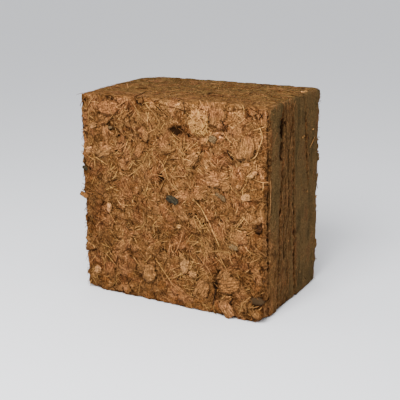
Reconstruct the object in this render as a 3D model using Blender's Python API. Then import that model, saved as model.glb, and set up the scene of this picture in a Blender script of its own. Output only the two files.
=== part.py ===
"""Coconut coir bale, in metres, with +Z up and the origin at the middle of its underside.

Husk chips, pith and fibre are pressed into one block in a square mould, along Y. The press plates
leave the front (-Y) and the back rough with chips. The mould rubs the other four sides smooth, and
there the charges that were pressed one on another show as layers, with cracks between them.
The bale stands on one of its mould sides.
"""

import math
import random

import bpy
from mathutils import Matrix, Vector, noise

# The block
WIDTH = 0.298
THICKNESS = 0.186
HEIGHT = 0.298
EDGE_RADIUS = 0.0024
CELLS_ACROSS = 14  # faces along the width and along the height
EDGE_CELL = 0.006  # the outermost cell, which holds the rounding of the edge

# Chips pressed into the front and the back
CHIPS_ACROSS = 10
CHIP_LENGTH = (0.022, 0.042)
CHIP_ASPECT = (0.55, 0.85)
CHIP_THICKNESS = 0.008
CHIP_CORNERS = (5, 6)
CORNER_SHIFT = 0.22  # how far a corner strays from its even place, as a share of the way to the next
CORNER_REACH = (0.80, 1.12)  # a corner's distance from the middle, against the plain oval's
CHIP_TOP = 0.86  # size of the outer face against the chip's foot
CHIP_TILT = math.radians(10)
CHIP_PROUD = (0.0004, 0.0036)  # how far its middle stands out of the face
CHIP_SINK = 0.0006  # how far the face that a chip is laid on lies behind the lumps' middle height
CHIP_OVERHANG = 0.0035  # how far a chip reaches past the mould sides
BASE_CLEARANCE = 0.0015  # chips stay this far above the underside
CHIP_MARGIN = 0.004  # bare rim round the rows of chips
CHIP_STRAY = 0.42  # how far a chip strays from its place in the row, as a share of the pitch
CHIP_SEED = 11

# Height of the rough faces' lumps and of the smooth sides' waves
LUMP_HEIGHT = 0.0026
LUMP_SINK = 0.0004  # how far the lumps' middle height lies in from the block's full thickness
LUMP_SIZE = 0.045
WAVE_HEIGHT = 0.0007
WAVE_SIZE = 0.080
# Shifts that keep the noise of the lumps, waves, crumbs and cracks apart
LUMP_SHIFT, WAVE_SHIFT, CRUMB_SHIFT, WANDER_SHIFT, GAPE_SHIFT = 1.7, 6.3, 2.9, 4.1, 9.0

# Cracks between the pressed layers: where each one lies along Y at mid height, how much further
# back it lies for each metre up, how deep and how wide it gapes, and the heights it runs between.
CRACKS = (
    {"y": -0.0800, "lean": -0.045, "depth": 0.0060, "width": 0.0026, "low": -0.05, "high": 0.35},
    {"y": -0.0420, "lean": 0.035, "depth": 0.0055, "width": 0.0034, "low": -0.05, "high": 0.35},
    {"y": 0.0030, "lean": -0.085, "depth": 0.0065, "width": 0.0026, "low": -0.05, "high": 0.35},
    {"y": 0.0570, "lean": -0.170, "depth": 0.0045, "width": 0.0022, "low": 0.17, "high": 0.35},
)
CRACK_FADE = 0.03  # height over which a crack's end closes
CRACK_WANDER = 0.0022
WANDER_SIZE = 0.050
GAPE_SIZE = 0.060  # length of the stretches in which a crack opens and closes
GAPE_MIDDLE, GAPE_RANGE, GAPE_LEAST = 0.62, 0.50, 0.12  # shares of a crack's depth
TOP_GAPE = 0.45  # the top was rubbed over, so its cracks are this much of the others' depth
BETWEEN_CRACKS = (-0.0600, -0.0280, -0.0120, 0.0290, 0.0745)
RIM_STATION = 0.0070  # the last ring of points before each rough face

# A charge of loose fibre and chips, whose mould side has crumbled instead of rubbing smooth
LOOSE_BAND = (-0.0395, 0.0005)
CRUMBLED = 0.0032
CRUMB_SIZE = 0.022

# Where handling has rubbed the block away: (across, along Y, up), each from -1 to 1 of the half
# size or 0 to 1 of the height, then the reach and the depth of the wear.
WORN = (
    ((1.0, -1.0, 0.0), 0.030, 0.0020),
    ((-1.0, -1.0, 0.0), 0.036, 0.0055),
    ((1.0, -1.0, 1.0), 0.030, 0.0025),
    ((-1.0, 1.0, 0.0), 0.040, 0.0055),
    ((1.0, 1.0, 0.0), 0.030, 0.0010),
    ((-1.0, 1.0, 1.0), 0.035, 0.0035),
    ((-1.0, -1.0, 1.0), 0.030, 0.0015),
)
EDGE_LOSS = 0.0042  # what has crumbled off the upright edge at the front right
EDGE_LOSS_REACH = 0.022
CHIP_LOST = 0.0030  # where the wear is deeper than this, the chip there has broken off
FRONT_SWELL = 0.0020  # the foot of the front has swollen further out than its top
SWELL_RISE = (0.02, HEIGHT)  # the swelling fades out between these heights
SWELL_SPREAD = (-0.16, 0.10)  # and is strongest at this side of the width
FOOT_SPREAD = 0.0055  # the weight has pushed the front's foot out by this much
FOOT_RISE = 0.060
TOP_CROWN = 0.0030  # the top has swollen up, most along its back
CROWN_SPREAD = (-0.093, 0.030)
CROWN_CORNER = 0.012  # over this distance the crown falls away towards the left and right edges
NEARLY = 1e-6  # points this close to a side lie on it


def smooth_step(low, high, value):
    share = min(1.0, max(0.0, (value - low) / (high - low)))
    return share * share * (3.0 - 2.0 * share)


def wave(point, size, shift):
    """Smooth noise from about -1 to 1, whose bumps are this size."""
    return noise.noise(point / size + Vector((shift, 2.0 * shift, 3.0 * shift)))


def stations_across(full):
    """Positions from -full/2 to full/2, with a narrow cell at either end."""
    inner = full - 2.0 * EDGE_CELL
    steps = CELLS_ACROSS - 2
    middle = [EDGE_CELL + inner * i / steps - full / 2.0 for i in range(steps + 1)]
    return [-full / 2.0, *middle, full / 2.0]


def stations_along():
    """(Y, crack) pairs from front to back: two lips and a floor for each crack, and plain rings between."""
    rim = THICKNESS / 2.0
    found = [(-rim, None), (-rim + RIM_STATION, None), (rim - RIM_STATION, None), (rim, None)]
    found += [(y, None) for y in BETWEEN_CRACKS]
    for crack in CRACKS:
        half = crack["width"] / 2.0
        found += [(crack["y"] - half, None), (crack["y"], crack), (crack["y"] + half, None)]
    return sorted(found, key=lambda pair: pair[0])


def layered(y, x, z):
    """Where the point of the plain box at y lies once the layers lean and the front has swollen."""
    rim = THICKNESS / 2.0
    up = z - HEIGHT / 2.0
    known = [(-rim, -rim + front_recess(x, z))]
    known += [(crack["y"], crack["y"] + crack["lean"] * up) for crack in CRACKS]
    known.append((rim, rim))
    for (y0, to0), (y1, to1) in zip(known, known[1:]):
        if y <= y1:
            return to0 + (to1 - to0) * (y - y0) / (y1 - y0)
    return y


def rounded(point, half):
    """A point of a box's surface, moved onto the same box with rounded edges."""
    core = Vector(
        max(-h + EDGE_RADIUS, min(h - EDGE_RADIUS, c)) for c, h in zip(point, half)
    )
    out = point - core
    return core + out.normalized() * EDGE_RADIUS if out.length > 0.0 else point


def worn(point):
    """The point after wear, which pulls the edges and corners in towards the block's middle."""
    middle = Vector((0.0, 0.0, HEIGHT / 2.0))
    for (across, along, up), reach, depth in WORN:
        spot = Vector((across * WIDTH / 2.0, along * THICKNESS / 2.0, up * HEIGHT))
        near = 1.0 - smooth_step(0.0, reach, (point - spot).length)
        point = point + (middle - point).normalized() * depth * near
    from_edge = math.hypot(point.x - WIDTH / 2.0, point.y + THICKNESS / 2.0)
    loss = EDGE_LOSS * (1.0 - smooth_step(0.0, EDGE_LOSS_REACH, from_edge))
    return point + Vector((-loss, loss, 0.0))


def front_recess(x, z):
    """How far the pressed front lies behind the block's plain thickness, or before it at the foot."""
    foot = FOOT_SPREAD * (1.0 - smooth_step(0.0, FOOT_RISE, z))
    return FRONT_SWELL * smooth_step(*SWELL_RISE, z) * smooth_step(*SWELL_SPREAD, x) - foot


def crown(x, y):
    """How far the top has swollen up here."""
    from_edge = WIDTH / 2.0 - abs(x)
    return TOP_CROWN * smooth_step(*CROWN_SPREAD, y) * (0.5 + 0.5 * smooth_step(0.0, CROWN_CORNER, from_edge))


def surface_point(x, y, z, crack):
    """A point of the plain box, taken to the pressed block's surface."""
    half = Vector((WIDTH / 2.0, THICKNESS / 2.0, HEIGHT / 2.0))
    on_rough = abs(abs(y) - half.y) < NEARLY
    on_base = z < NEARLY
    lifted = Vector((0.0, 0.0, HEIGHT / 2.0))
    point = rounded(Vector((x, y, z)) - lifted, half) + lifted
    point.y += layered(y, x, z) - y
    if on_rough:
        lump = LUMP_HEIGHT * wave(point, LUMP_SIZE, LUMP_SHIFT) - LUMP_SINK
        point.y += math.copysign(1.0, y) * lump
    else:
        wander = wave(point, WANDER_SIZE, WANDER_SHIFT)
        point.y += CRACK_WANDER * wander * (1.0 - abs(y) / half.y)
        sideways = WAVE_HEIGHT * wave(point, WAVE_SIZE, WAVE_SHIFT)
        if LOOSE_BAND[0] < y < LOOSE_BAND[1]:
            sideways -= CRUMBLED * (0.5 + 0.5 * wave(point, CRUMB_SIZE, CRUMB_SHIFT))
        if abs(x) > half.x - NEARLY:
            point.x += math.copysign(1.0, x) * sideways
        elif not on_base:
            point.z += sideways
    point.z += crown(x, y) * smooth_step(0.5 * HEIGHT, HEIGHT, z)
    if crack is not None:
        point = point + crack_inset(point, x, z, half, crack)
    point = worn(point)
    point.z = max(0.0, point.z)
    return point


def crack_inset(point, x, z, half, crack):
    """How a crack's floor lies in from the mould side, open in some stretches and tight in others."""
    opening = GAPE_MIDDLE + GAPE_RANGE * wave(point, GAPE_SIZE, GAPE_SHIFT)
    opening *= smooth_step(crack["low"] - CRACK_FADE, crack["low"] + CRACK_FADE, z)
    opening *= smooth_step(crack["high"] + CRACK_FADE, crack["high"] - CRACK_FADE, z) or 1.0
    inward = Vector((0.0, 0.0, 0.0))
    if abs(x) > half.x - NEARLY:
        inward.x = -math.copysign(1.0, x)
    if z > HEIGHT - NEARLY:
        inward.z = -TOP_GAPE
    if z < NEARLY:
        inward.z = 1.0
    return inward * crack["depth"] * max(GAPE_LEAST, opening)


def pressed_block():
    """The block's surface as one closed grid of quads, a box with cracks, lumps and worn edges."""
    xs = stations_across(WIDTH)
    zs = [z + HEIGHT / 2.0 for z in stations_across(HEIGHT)]
    ys = stations_along()
    last = (len(xs) - 1, len(ys) - 1, len(zs) - 1)
    points, index = [], {}

    def vertex(i, j, k):
        if (i, j, k) not in index:
            y, crack = ys[j]
            index[i, j, k] = len(points)
            points.append(surface_point(xs[i], y, zs[k], crack))
        return index[i, j, k]

    faces = []
    for axis in range(3):
        u, v = (axis + 1) % 3, (axis + 2) % 3
        for side in (0, last[axis]):
            for a in range(last[u]):
                for b in range(last[v]):
                    corners = []
                    for da, db in ((0, 0), (1, 0), (1, 1), (0, 1)):
                        spot = [0, 0, 0]
                        spot[axis], spot[u], spot[v] = side, a + da, b + db
                        corners.append(vertex(*spot))
                    faces.append(corners if side else corners[::-1])
    mesh = bpy.data.meshes.new("pressed_block")
    mesh.from_pydata(points, [], faces)
    return mesh


def chip_mesh(rng, name):
    """A torn piece of husk: a flat prism with an uneven outline and a sloping rim, lying in XY."""
    corners = rng.choice(CHIP_CORNERS)
    long = rng.uniform(*CHIP_LENGTH) / 2.0
    wide = long * rng.uniform(*CHIP_ASPECT)
    rim = []
    for i in range(corners):
        turn = math.tau * (i + rng.uniform(-CORNER_SHIFT, CORNER_SHIFT)) / corners
        reach = rng.uniform(*CORNER_REACH)
        rim.append((long * reach * math.cos(turn), wide * reach * math.sin(turn)))
    top = [Vector((CHIP_TOP * x, CHIP_TOP * y, CHIP_THICKNESS / 2.0)) for x, y in rim]
    foot = [Vector((x, y, -CHIP_THICKNESS / 2.0)) for x, y in rim]
    count = len(rim)
    faces = [list(range(count)), [count + i for i in reversed(range(count))]]
    faces += [[i, count + i, count + (i + 1) % count, (i + 1) % count] for i in range(count)]
    mesh = bpy.data.meshes.new(name)
    mesh.from_pydata(top + foot, [], faces)
    return mesh


def place_chip(mesh, rng, x, z, out):
    """Moves a chip's points to where it lies on the front (out -1) or the back (out 1).

    Says whether it has stayed on the bale there.
    """
    tilt = Matrix.Rotation(rng.uniform(-CHIP_TILT, CHIP_TILT), 4, "X")
    tilt = Matrix.Rotation(rng.uniform(-CHIP_TILT, CHIP_TILT), 4, "Y") @ tilt
    spin = Matrix.Rotation(rng.uniform(0.0, math.tau), 4, "Z")
    onto_face = Matrix.Rotation(math.pi / 2.0, 4, "X")
    if out > 0.0:
        onto_face = Matrix.Rotation(math.pi, 4, "Z") @ onto_face
    proud = rng.uniform(*CHIP_PROUD) - CHIP_THICKNESS / 2.0
    face = THICKNESS / 2.0 - LUMP_SINK - CHIP_SINK
    if out < 0.0:
        face -= front_recess(x, z)
    plain = Vector((x, out * (face + proud), z))
    point = worn(plain)
    mesh.transform(Matrix.Translation(point) @ onto_face @ spin @ tilt)
    for vertex in mesh.vertices:
        overhang = rng.uniform(0.0, CHIP_OVERHANG)
        half_width = WIDTH / 2.0 + overhang
        lowest = BASE_CLEARANCE + CHIP_OVERHANG - overhang
        vertex.co.x = max(-half_width, min(half_width, vertex.co.x))
        vertex.co.z = max(lowest, min(HEIGHT + overhang, vertex.co.z))
    return (point - plain).length < CHIP_LOST


def husk_chips(collection):
    """Chips in uneven rows over both rough faces, kept out of the render: only the Boolean reads them."""
    rng = random.Random(CHIP_SEED)
    pitch_x = (WIDTH - 2.0 * CHIP_MARGIN) / CHIPS_ACROSS
    pitch_z = (HEIGHT - 2.0 * CHIP_MARGIN) / CHIPS_ACROSS
    for out in (-1.0, 1.0):
        for row in range(CHIPS_ACROSS):
            for column in range(CHIPS_ACROSS):
                across = column + 0.5 + rng.uniform(-CHIP_STRAY, CHIP_STRAY)
                up = row + 0.5 + rng.uniform(-CHIP_STRAY, CHIP_STRAY)
                x = -WIDTH / 2.0 + CHIP_MARGIN + pitch_x * across
                z = CHIP_MARGIN + pitch_z * up
                mesh = chip_mesh(rng, "husk_chip")
                if place_chip(mesh, rng, x, z, out):
                    chip = bpy.data.objects.new("husk_chip", mesh)
                    chip.hide_render = True
                    chip.display_type = "WIRE"
                    collection.objects.link(chip)


def coir_material():
    material = bpy.data.materials.new("pressed_coir")
    material.use_nodes = True
    shader = material.node_tree.nodes["Principled BSDF"]
    shader.inputs["Base Color"].default_value = (0.26, 0.125, 0.045, 1.0)
    shader.inputs["Roughness"].default_value = 0.9
    shader.inputs["Metallic"].default_value = 0.0
    return material


for old in list(bpy.data.objects):
    bpy.data.objects.remove(old)

chips = bpy.data.collections.new("husk_chips")
bpy.context.scene.collection.children.link(chips)
husk_chips(chips)

bale = bpy.data.objects.new("coir_bale", pressed_block())
bpy.context.scene.collection.objects.link(bale)
bale.data.materials.append(coir_material())
bale.modifiers.new("flat_facets", "TRIANGULATE")
fuse = bale.modifiers.new("fused_chips", "BOOLEAN")
fuse.operation = "UNION"
fuse.operand_type = "COLLECTION"
fuse.collection = chips
fuse.solver = "EXACT"
bale.modifiers.new("facets_of_the_joint", "TRIANGULATE")
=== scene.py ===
"""A compressed coconut coir bale, dressed with its chips, fibres and rubbed mould sides."""

import math
import random

import bmesh
import bpy
from mathutils import Matrix, Vector, noise
from mathutils.bvhtree import BVHTree


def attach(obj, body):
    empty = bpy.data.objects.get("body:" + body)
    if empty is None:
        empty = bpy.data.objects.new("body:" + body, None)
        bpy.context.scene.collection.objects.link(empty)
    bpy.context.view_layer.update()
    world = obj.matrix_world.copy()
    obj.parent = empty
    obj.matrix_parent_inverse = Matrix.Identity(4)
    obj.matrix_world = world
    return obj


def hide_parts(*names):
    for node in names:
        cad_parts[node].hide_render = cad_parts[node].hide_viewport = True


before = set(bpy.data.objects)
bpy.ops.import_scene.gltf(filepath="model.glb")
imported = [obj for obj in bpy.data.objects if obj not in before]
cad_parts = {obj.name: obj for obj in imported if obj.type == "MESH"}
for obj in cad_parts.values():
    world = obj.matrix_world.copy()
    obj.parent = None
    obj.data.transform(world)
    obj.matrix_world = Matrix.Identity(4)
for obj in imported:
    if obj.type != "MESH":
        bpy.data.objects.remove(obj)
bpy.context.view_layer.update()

# The camera stands a little above the bale's middle and looks at its front and right side.
# Its place, turn and focal length put the block's corners where the photograph has them.
CAMERA_PLACE = Vector((0.5964, -1.0599, 0.4867))
CAMERA_AZIMUTH = math.radians(29.495)
CAMERA_ELEVATION = math.radians(16.222)
CAMERA_ROLL = math.radians(-0.384)
FOCAL_LENGTH = 75.46
SENSOR_WIDTH = 36.0

back = Vector((
    math.sin(CAMERA_AZIMUTH) * math.cos(CAMERA_ELEVATION),
    -math.cos(CAMERA_AZIMUTH) * math.cos(CAMERA_ELEVATION),
    math.sin(CAMERA_ELEVATION),
))
right = (-back).cross(Vector((0.0, 0.0, 1.0))).normalized()
up = right.cross(-back)
turned_right = math.cos(CAMERA_ROLL) * right + math.sin(CAMERA_ROLL) * up
turned_up = math.cos(CAMERA_ROLL) * up - math.sin(CAMERA_ROLL) * right
facing = Matrix((turned_right, turned_up, back)).transposed().to_4x4()
lens = bpy.data.cameras.new("camera")
lens.lens = FOCAL_LENGTH
lens.sensor_width = SENSOR_WIDTH
camera = bpy.data.objects.new("camera", lens)
camera.matrix_world = Matrix.Translation(CAMERA_PLACE) @ facing
bpy.context.scene.collection.objects.link(camera)
bpy.context.scene.camera = camera

# The pressed block. Coconut pith, husk chips and fibre were pressed into a square mould in a few
# charges, front to back. Its front and back are rough flakes lying every way, the other sides are
# rubbed smooth by the mould, and ragged cracks part the charges.
BLOCK = Vector((0.298, 0.186, 0.298))  # width, thickness and height without the chips
MILLIMETRES = 1000.0  # in a metre: the patterns that follow a surface are measured in them
FACE_STEP = 0.0023
CRACK_STEP = 0.0008
CRACK_STRIP = 0.0044  # the fine rows reach this far from a crack's line
FAN = 0.012  # edges are read along rays that fan out from this depth
# Where the cracks lie along Y at mid height, and how much further back for each metre up
CRACK_LINES = ((-0.0800, -0.045), (-0.0420, 0.035), (0.0030, -0.085), (0.0570, -0.170))
FLAKE_SIZE = 0.015
FLAKE_STEP = 0.0006  # how far neighbouring flakes of the surface stand out from each other
FLAKE_GAP = 0.0010
FLAKE_SEED = 7  # without it the flakes would lie another way in each run
CRUMB_SIZE = 0.0034
CRUMB_HEIGHT = 0.0005
SMOOTH_GRIT = 0.00018
CRACK_WOBBLE = 0.0011
CRACK_SHOWS = (0.0004, 0.0030)  # how deep a cut starts to show as a crack, and how deep it is fully open
# A crack's slit is painted dark as the shade down in it.
CRACK_OPEN = 0.0022  # half the width of a crack's dark slit, where it is fully open
CRACK_CARVE = 0.0035
LIP_REACH = 1.5 * CRACK_STRIP  # a crack's broken lips reach this far from its line
LIP_HEIGHT = 0.0009
# Where the rubbed sides are worn, along Y or along Z. One value of each pair is where the wear starts
# and the other where it is complete, and its border wanders.
EDGE_WANDER = 0.006
FRONT_RIM = (-0.078, -0.068)
TOP_RIM = (-0.080, -0.035)
BACK_RIM = (0.084, 0.092)
LOW_CORNER, LOW_CORNER_Z = (-0.068, -0.030), (0.010, 0.045)
FRAYED, FRAYED_Z = (-0.056, -0.040), (0.090, 0.170)
LOOSE_FROM, LOOSE_TO = (-0.044, -0.038), (-0.006, 0.003)  # the loose charge, from crack to crack
# The foot of the sides is undercut a little and painted dark as the shadow under the bottom edge.
FOOT_Z = (0.0015, 0.0050)
FOOT_DEPTH = 0.0004
BACK_REACH = 0.0016  # how far the back's chips stand past the block's left and right sides
RAGGED_RIM = 0.009  # fewer chips and strands start this close to the edge of a rough face
MOULD_RIM = 0.006  # no hairs start this close to the ends of the top and the mould sides
# Hollows, sunk to their depth and painted dark as their shade: side, its two coordinates on that side, the
# half sizes and the depth
HOLLOWS = (
    ("front", (0.073, 0.040), (0.0045, 0.0085), 0.0060),
    ("front", (0.138, 0.133), (0.0070, 0.0075), 0.0050),
    ("front", (0.138, 0.027), (0.0100, 0.0080), 0.0045),
    ("front", (-0.014, 0.187), (0.0060, 0.0080), 0.0040),
    ("front", (0.009, 0.255), (0.0110, 0.0085), 0.0060),
    ("front", (0.027, 0.251), (0.0090, 0.0045), 0.0050),
    ("front", (0.079, 0.062), (0.0030, 0.0060), 0.0045),
    ("front", (0.074, 0.046), (0.0025, 0.0100), 0.0045),
    ("right", (-0.0400, 0.2640), (0.0095, 0.0160), 0.0055),
    ("right", (-0.0430, 0.2320), (0.0085, 0.0150), 0.0024),
)
# Painted shade: deep hollows are coloured dark as their shade.
DARK_FROM = 0.0040  # a hollow as deep as this is wholly dark
# Painted shade on the rough front, with some darker coir: zones darkened over its hollows and along its
# left, right and bottom edges, where the lamp's light falls off. Place, half sizes and how much
SHADE_AND_DARK_ZONES = (
    ((-0.150, 0.110), (0.062, 0.200), 0.42),
    ((-0.120, 0.262), (0.034, 0.045), 0.34),
    ((-0.070, 0.008), (0.120, 0.070), 0.48),
    ((0.105, 0.050), (0.044, 0.034), 0.42),
    ((0.060, 0.000), (0.120, 0.040), 0.44),
    ((0.100, 0.082), (0.050, 0.032), 0.40),
    ((-0.040, 0.132), (0.032, 0.024), 0.26),
    ((0.150, 0.040), (0.022, 0.110), 0.55),
    ((0.150, 0.200), (0.010, 0.130), 0.35),
    ((0.022, 0.115), (0.030, 0.020), 0.40),
    ((0.074, 0.040), (0.012, 0.034), 0.50),
    ((0.085, 0.088), (0.022, 0.014), 0.35),
    ((-0.066, 0.288), (0.026, 0.010), 0.55),
    ((-0.018, 0.188), (0.013, 0.012), 0.60),
    ((0.018, 0.252), (0.024, 0.014), 0.60),
    ((0.094, 0.238), (0.008, 0.016), 0.45),
    ((0.137, 0.132), (0.012, 0.012), 0.60),
    ((0.010, 0.146), (0.012, 0.010), 0.40),
)
# Painted light on the rough front, with some paler coir: zones that brighten its middle and upper right and
# make it less red. Place, half sizes and how much
LIGHT_AND_PALE_ZONES = (
    ((0.085, 0.225), (0.075, 0.085), 1.00),
    ((0.040, 0.165), (0.060, 0.045), 0.90),
    ((0.125, 0.120), (0.040, 0.060), 0.60),
)
# Ragged lines torn into the loose charge between the second and third crack, (Y, Z) along each
TORN_LINES = (
    ((-0.030, 0.300), (-0.026, 0.262), (-0.033, 0.215), (-0.024, 0.170), (-0.029, 0.110), (-0.022, 0.070)),
    ((-0.004, 0.285), (-0.017, 0.230), (-0.016, 0.186), (-0.011, 0.150), (-0.018, 0.095), (-0.010, 0.030)),
)
TEAR = 0.0016  # half the width of such a line
TEAR_DEPTH = 0.0016


def smooth_step(low, high, value):
    """0 up to low and 1 from high on, with a soft bend at both."""
    share = min(1.0, max(0.0, (value - low) / (high - low)))
    return share * share * (3.0 - 2.0 * share)


def fading(low, high, value):
    """1 up to low and 0 from high on."""
    return 1.0 - smooth_step(low, high, value)


def even_stations(start, end, step):
    """Positions about a step apart, the end left out."""
    count = max(1, round((end - start) / step))
    return [start + (end - start) * i / count for i in range(count)]


def stations_along():
    """Y positions from front to back, close together beside each crack, and each crack's rows."""
    found, strips, at = [], [], -BLOCK.y / 2.0
    for line, _ in CRACK_LINES:
        found += even_stations(at, line - CRACK_STRIP, FACE_STEP)
        first = len(found)
        found += even_stations(line - CRACK_STRIP, line + CRACK_STRIP, CRACK_STEP)
        at = line + CRACK_STRIP
        strips.append((first, len(found)))
    found += even_stations(at, BLOCK.y / 2.0, FACE_STEP)
    return found + [BLOCK.y / 2.0], strips


def leaning(y, z):
    """Where a row of the block lies once the charges lean as the cracks between them do."""
    rim = BLOCK.y / 2.0
    known = [(-rim, 0.0)] + list(CRACK_LINES) + [(rim, 0.0)]
    for (y0, lean0), (y1, lean1) in zip(known, known[1:]):
        if y <= y1:
            share = (y - y0) / (y1 - y0)
            return y + (lean0 + (lean1 - lean0) * share) * (z - BLOCK.z / 2.0)
    return y


def cell_value(point, turn):
    """A number from -1 to 1 that is the same all over one flake."""
    return math.sin(12.9898 * point.x / FLAKE_SIZE + 78.233 * point.y / FLAKE_SIZE
                    + 37.719 * point.z / FLAKE_SIZE + turn)


def flake_relief(point):
    """How far the rough surface stands out here, and how deep in a gap it is, from 0 to 1."""
    bent = point + 0.0045 * noise.noise_vector(point / 0.016) + 0.0014 * noise.noise_vector(point / 0.005)
    distances, centres = noise.voronoi(bent / FLAKE_SIZE)[:2]
    edge = smooth_step(0.0, 0.22, distances[1] - distances[0])
    centre = centres[0] * FLAKE_SIZE
    slope = Vector((cell_value(centre, 1.0), cell_value(centre, 2.0), cell_value(centre, 3.0)))
    height = FLAKE_STEP * cell_value(centre, 0.0) + 0.12 * slope.dot(bent - centre)
    crumbs = noise.turbulence(point / CRUMB_SIZE, 2, False) + 0.6 * noise.noise(point / 0.0075)
    lumps = 0.0009 * noise.noise(point / 0.030 + Vector((3.0, 1.0, 7.0)))
    gap = (1.0 - edge) * smooth_step(-0.25, 0.35, noise.noise(point / 0.021 + Vector((9.0, 0.0, 4.0))))
    return height + lumps - FLAKE_GAP * gap + CRUMB_HEIGHT * crumbs, gap


def in_hollow(point, out):
    """How deep a hollow is here, how much painted shade the point gets by lying far into a deep one, and
    how bare of chips it is.
    """
    depth, share, bare = 0.0, 0.0, 0.0
    for side, (across, height), (half_across, half_height), deep in HOLLOWS:
        facing_it = -out.y if side == "front" else out.x
        if facing_it < 0.7:
            continue
        along = point.x if side == "front" else point.y
        ragged = 1.0 + 0.5 * noise.noise(point / 0.005)
        reach = math.hypot((along - across) / half_across, (point.z - height) / half_height)
        near = fading(0.65, 1.2, reach * ragged)
        depth, share = max(depth, deep * near), max(share, near * min(1.0, deep / DARK_FROM))
        bare = max(bare, fading(1.2, 2.4, reach))
    return depth, share, bare


def in_zones(zones, point, out):
    """How much of the zones' effect there is at a point of the rough front, from 0 to 1."""
    found = 0.0
    if out.y < -0.3:
        ragged = 1.0 + 0.5 * noise.noise(point / 0.014)
        for (across, height), (half_across, half_height), share in zones:
            reach = math.hypot((point.x - across) / half_across, (point.z - height) / half_height)
            found = max(found, share * fading(0.3, 1.1, reach * ragged))
    return found


def torn(point, out):
    """How much of a torn line there is here, from 0 to 1. The left side is torn as the right is."""
    found = 0.0
    if abs(out.x) > 0.7:
        wide = TEAR * (1.0 + 0.9 * noise.noise(point / 0.007))
        aside = point.y + 0.002 * noise.noise(point / 0.006)
        for line in TORN_LINES:
            for (y0, z0), (y1, z1) in zip(line, line[1:]):
                if z1 <= point.z < z0:
                    off = abs(aside - (y0 + (y1 - y0) * (point.z - z0) / (z1 - z0)))
                    found = max(found, fading(0.4 * wide, 1.3 * wide, off))
    return found


def worn(level, out):
    """How crumbled a rubbed side is here, how loose its charge is, and how far the borders wander."""
    wander = EDGE_WANDER * noise.noise(level / 0.020)
    upward = smooth_step(0.4, 0.8, out.z)
    low_corner = fading(*LOW_CORNER, level.y + wander) * fading(*LOW_CORNER_Z, level.z + wander)
    frayed = fading(*FRAYED, level.y + 1.5 * wander)
    crust = max(
        fading(*FRONT_RIM, level.y + wander),
        upward * fading(*TOP_RIM, level.y + 2.0 * wander),
        smooth_step(*BACK_RIM, level.y + wander),
        low_corner,
        0.8 * frayed * fading(*FRAYED_Z, level.z + 4.0 * wander),
    )
    loose = smooth_step(*LOOSE_FROM, level.y + 0.5 * wander)
    loose *= fading(*LOOSE_TO, level.y + 0.5 * wander)
    return crust, loose * (1.0 - 0.6 * upward), wander


def opened_cracks(strips, ring, index, ys, insets, plain):
    """How far a crack gapes at each point of the grid, and how much of its broken lips is there.

    A crack is found where the solid is cut deeper than on both sides of a strip of fine rows."""
    crack, beside = [0.0] * len(plain), [0.0] * len(plain)
    for first, end in strips:
        for i, k in ring:
            start, stop = insets[index[i, first, k]], insets[index[i, end, k]]
            cut = []
            for j in range(first, end):
                share = (j - first) / (end - first)
                cut.append(max(0.0, insets[index[i, j, k]] - start - (stop - start) * share))
            opened = smooth_step(*CRACK_SHOWS, max(cut))
            deepest = ys[first + cut.index(max(cut))]
            for j in range(max(0, first - 2), min(len(ys) - 1, end + 2)):
                at = index[i, j, k]
                off = abs(ys[j] - deepest)
                ragged = CRACK_OPEN * (0.9 + 0.9 * noise.noise(plain[at] / 0.0060))
                crack[at] = max(crack[at], opened * fading(0.5 * ragged, 1.5 * ragged, off))
                beside[at] = max(beside[at], opened * fading(0.5, 1.0, off / LIP_REACH))
    return crack, beside


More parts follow.
